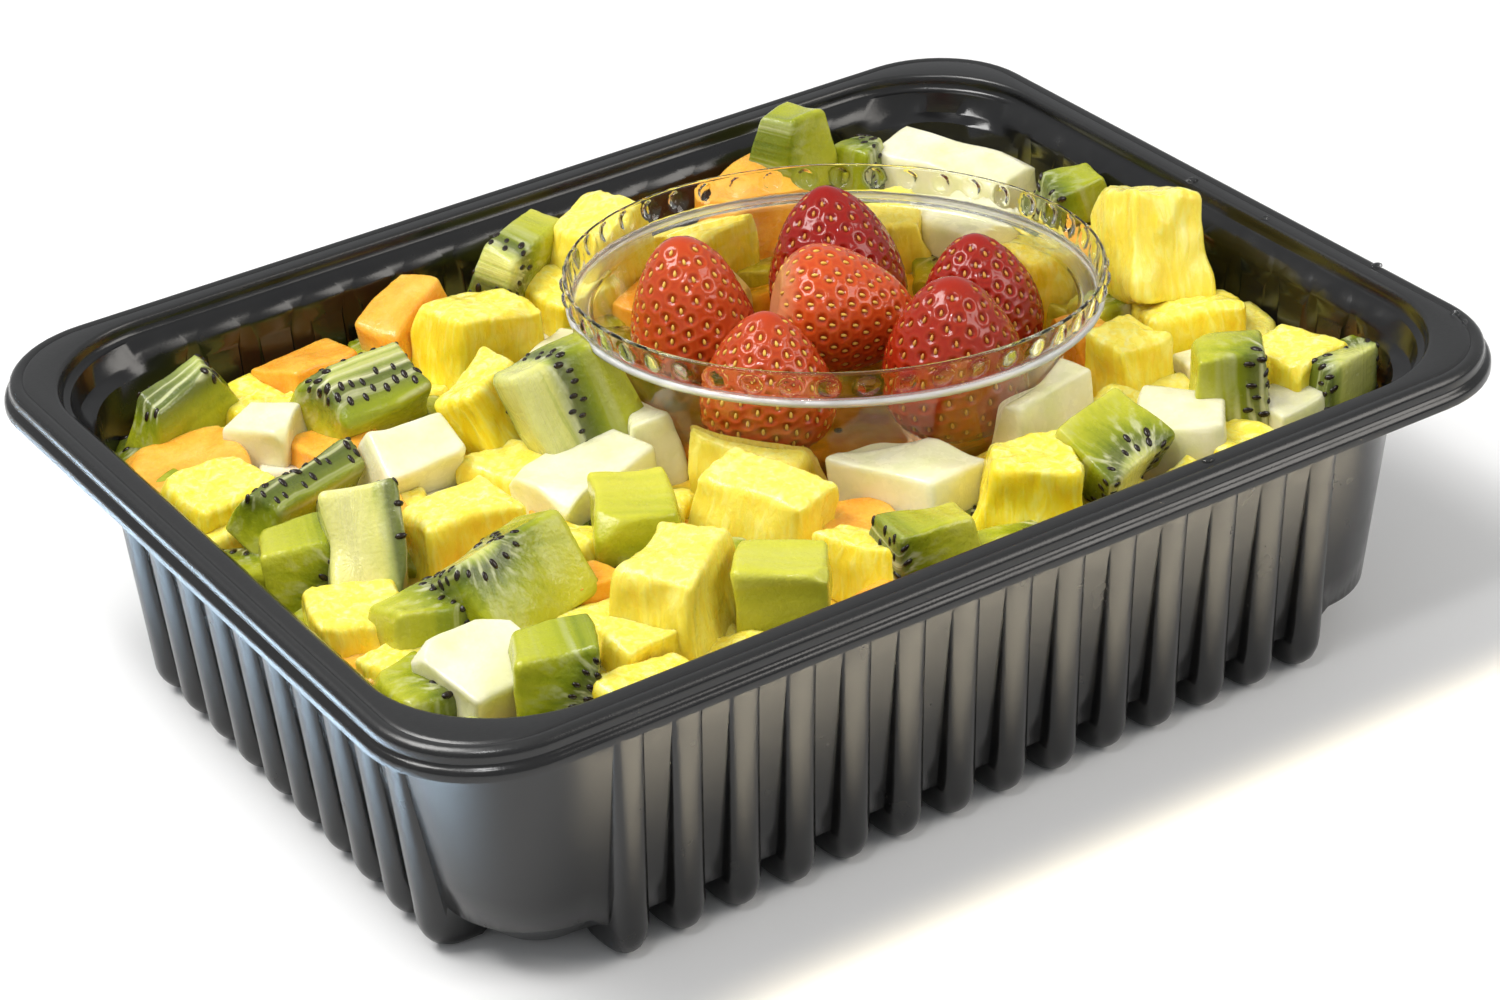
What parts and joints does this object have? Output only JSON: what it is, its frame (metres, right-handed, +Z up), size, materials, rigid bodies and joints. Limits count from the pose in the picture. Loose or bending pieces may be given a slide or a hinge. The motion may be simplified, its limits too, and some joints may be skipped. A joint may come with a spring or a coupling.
{
  "type": "tray of cut fruit with a cup of strawberries",
  "caption": "Ribbed black plastic tray heaped with chunks of pineapple, kiwi and melon, packed round a clear plastic cup of whole hulled strawberries.",
  "frame": {"origin": "middle of the tray's underside, level with the flat toes of the ribs that it stands on", "axes": "+Z up, +X along the tray's long side towards the end where the clear cup sits, +Y along the short side"},
  "size_m": [0.227, 0.178, 0.0724],
  "materials": {
    "black_plastic": "glossy thermoformed sheet, matte on the flange",
    "clear_plastic": "clear and glossy",
    "cut_fruit": "moist cut flesh",
    "strawberry": "moist and glossy skin"
  },
  "bodies": {
    "root": {"tray": "black_plastic", "cup": "clear_plastic", "fruit_heap": "cut_fruit", "strawberry_left": "strawberry", "strawberry_back": "strawberry", "strawberry_centre": "strawberry", "strawberry_right_back": "strawberry", "strawberry_right_front": "strawberry", "strawberry_front_left": "strawberry"}
  },
  "joints": []
}
